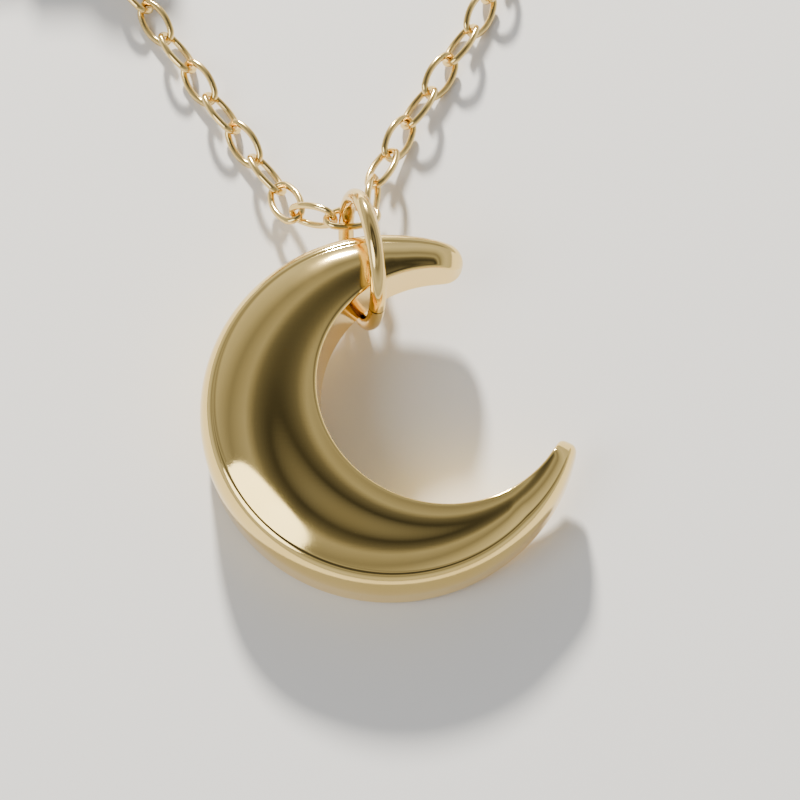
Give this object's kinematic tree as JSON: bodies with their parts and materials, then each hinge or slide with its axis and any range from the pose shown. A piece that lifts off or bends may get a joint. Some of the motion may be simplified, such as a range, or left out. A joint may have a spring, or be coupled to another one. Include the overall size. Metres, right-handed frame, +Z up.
{
  "type": "pendant necklace",
  "caption": "Gold crescent moon pendant on a round wire bail, hung on a fine oval cable chain with a small lever clasp and catch ring.",
  "frame": {"origin": "centre of the footprint of the pendant and hinged links, on the surface the necklace lies on", "axes": "+Y from the pendant towards the clasp, +Z up from the surface, +X to the right as the crescent is seen from its domed front"},
  "size_m": [0.0494, 0.0642, 0.0076],
  "materials": {
    "gold_pendant": "mirror polished gold",
    "gold_findings": "polished gold",
    "gold_chain": "polished gold"
  },
  "bodies": {
    "centre": {"link_centre": "gold_chain"},
    "bail": {"bail_ring": "gold_findings"},
    "pendant": {"crescent": "gold_pendant"},
    "left_01": {"link_left_01": "gold_chain"},
    "left_02": {"link_left_02": "gold_chain"},
    "left_03": {"link_left_03": "gold_chain"},
    "left_04": {"link_left_04": "gold_chain"},
    "left_05": {"link_left_05": "gold_chain"},
    "left_06": {"link_left_06": "gold_chain"},
    "left_07": {"link_left_07": "gold_chain"},
    "left_08": {"link_left_08": "gold_chain"},
    "left_09": {"link_left_09": "gold_chain"},
    "left_10": {"link_left_10": "gold_chain"},
    "left_end": {"chain_left_run": "gold_chain", "chain_left_coil": "gold_chain"},
    "right_01": {"link_right_01": "gold_chain"},
    "right_02": {"link_right_02": "gold_chain"},
    "right_03": {"link_right_03": "gold_chain"},
    "right_04": {"link_right_04": "gold_chain"},
    "right_05": {"link_right_05": "gold_chain"},
    "right_06": {"link_right_06": "gold_chain"},
    "right_07": {"link_right_07": "gold_chain"},
    "right_08": {"link_right_08": "gold_chain"},
    "right_09": {"link_right_09": "gold_chain"},
    "right_end": {"chain_right_run": "gold_chain", "chain_right_coil": "gold_chain"},
    "clasp_ring": {"clasp_ring": "gold_findings"},
    "clasp": {"clasp_body": "gold_findings", "clasp_pin": "gold_findings", "clasp_spring": "gold_findings"},
    "lever": {"clasp_lever": "gold_findings"},
    "catch": {"catch_ring": "gold_findings"}
  },
  "joints": [
    {"name": "bail_lift", "type": "hinge", "parent": "centre", "child": "bail", "pos_m": [0.00136, 0.0006, 0.00272], "axis": [-0.9642, -0.2142, 0.1564], "range_deg": [0, 15]},
    {"name": "pendant_swing", "type": "hinge", "parent": "bail", "child": "pendant", "pos_m": [0.00222, -0.0025, 0.00383], "axis": [-0.9642, -0.2142, 0.1564], "range_deg": [0, 10]},
    {"name": "left_01_turn", "type": "hinge", "parent": "centre", "child": "left_01", "pos_m": [0.00031, 0.00074, 0.00272], "axis": [0, 0, 1], "range_deg": [-5, 5]},
    {"name": "left_02_turn", "type": "hinge", "parent": "left_01", "child": "left_02", "pos_m": [-0.00159, 0.00158, 0.00153], "axis": [0, 0, 1], "range_deg": [-10, 10]},
    {"name": "left_03_turn", "type": "hinge", "parent": "left_02", "child": "left_03", "pos_m": [-0.0026, 0.00366, 0.00086], "axis": [0, 0, 1], "range_deg": [-8, 6]},
    {"name": "left_04_turn", "type": "hinge", "parent": "left_03", "child": "left_04", "pos_m": [-0.00394, 0.00564, 0.00075], "axis": [0, 0, 1], "range_deg": [-10, 10]},
    {"name": "left_05_turn", "type": "hinge", "parent": "left_04", "child": "left_05", "pos_m": [-0.00525, 0.00765, 0.00075], "axis": [0, 0, 1], "range_deg": [-10, 10]},
    {"name": "left_06_turn", "type": "hinge", "parent": "left_05", "child": "left_06", "pos_m": [-0.00657, 0.00966, 0.00075], "axis": [0, 0, 1], "range_deg": [-10, 10]},
    {"name": "left_07_turn", "type": "hinge", "parent": "left_06", "child": "left_07", "pos_m": [-0.00788, 0.01167, 0.00075], "axis": [0, 0, 1], "range_deg": [-10, 10]},
    {"name": "left_08_turn", "type": "hinge", "parent": "left_07", "child": "left_08", "pos_m": [-0.0092, 0.01368, 0.00075], "axis": [0, 0, 1], "range_deg": [-10, 10]},
    {"name": "left_09_turn", "type": "hinge", "parent": "left_08", "child": "left_09", "pos_m": [-0.01051, 0.01569, 0.00075], "axis": [0, 0, 1], "range_deg": [-10, 10]},
    {"name": "left_10_turn", "type": "hinge", "parent": "left_09", "child": "left_10", "pos_m": [-0.01182, 0.01769, 0.00075], "axis": [0, 0, 1], "range_deg": [-10, 10]},
    {"name": "left_end_turn", "type": "hinge", "parent": "left_10", "child": "left_end", "pos_m": [-0.01314, 0.0197, 0.00075], "axis": [0, 0, 1], "range_deg": [-10, 10]},
    {"name": "right_01_turn", "type": "hinge", "parent": "centre", "child": "right_01", "pos_m": [0.00261, 0.00144, 0.00234], "axis": [0, 0, 1], "range_deg": [-10, 5]},
    {"name": "right_02_turn", "type": "hinge", "parent": "right_01", "child": "right_02", "pos_m": [0.00294, 0.00367, 0.00154], "axis": [0, 0, 1], "range_deg": [-10, 10]},
    {"name": "right_03_turn", "type": "hinge", "parent": "right_02", "child": "right_03", "pos_m": [0.00376, 0.00586, 0.001], "axis": [0, 0, 1], "range_deg": [-7, 10]},
    {"name": "right_04_turn", "type": "hinge", "parent": "right_03", "child": "right_04", "pos_m": [0.00484, 0.00799, 0.00075], "axis": [0, 0, 1], "range_deg": [-10, 10]},
    {"name": "right_05_turn", "type": "hinge", "parent": "right_04", "child": "right_05", "pos_m": [0.00604, 0.01007, 0.00075], "axis": [0, 0, 1], "range_deg": [-10, 10]},
    {"name": "right_06_turn", "type": "hinge", "parent": "right_05", "child": "right_06", "pos_m": [0.00724, 0.01215, 0.00075], "axis": [0, 0, 1], "range_deg": [-10, 10]},
    {"name": "right_07_turn", "type": "hinge", "parent": "right_06", "child": "right_07", "pos_m": [0.00844, 0.01423, 0.00075], "axis": [0, 0, 1], "range_deg": [-10, 10]},
    {"name": "right_08_turn", "type": "hinge", "parent": "right_07", "child": "right_08", "pos_m": [0.00948, 0.01639, 0.00075], "axis": [0, 0, 1], "range_deg": [-10, 10]},
    {"name": "right_09_turn", "type": "hinge", "parent": "right_08", "child": "right_09", "pos_m": [0.01051, 0.01856, 0.00075], "axis": [0, 0, 1], "range_deg": [-10, 10]},
    {"name": "right_end_turn", "type": "hinge", "parent": "right_09", "child": "right_end", "pos_m": [0.01154, 0.02072, 0.00075], "axis": [0, 0, 1], "range_deg": [-10, 10]},
    {"name": "clasp_ring_turn", "type": "hinge", "parent": "left_end", "child": "clasp_ring", "pos_m": [-0.0219, 0.0281, 0.00475], "axis": [0, 0, 1], "range_deg": [-15, 15]},
    {"name": "clasp_lift", "type": "hinge", "parent": "clasp_ring", "child": "clasp", "pos_m": [-0.0191, 0.0281, 0.00475], "axis": [0, -1, 0], "range_deg": [0, 15]},
    {"name": "lever_open", "type": "hinge", "parent": "clasp", "child": "lever", "pos_m": [-0.0159, 0.02845, 0.00475], "axis": [0, 0, -1], "range_deg": [0, 12], "stiffness_Nm_per_rad": 0.00002, "springref_deg": -11.46},
    {"name": "catch_ring_turn", "type": "hinge", "parent": "right_end", "child": "catch", "pos_m": [0.0093, 0.0337, 0.0042], "axis": [0, 0, 1], "range_deg": [-30, 30]}
  ]
}
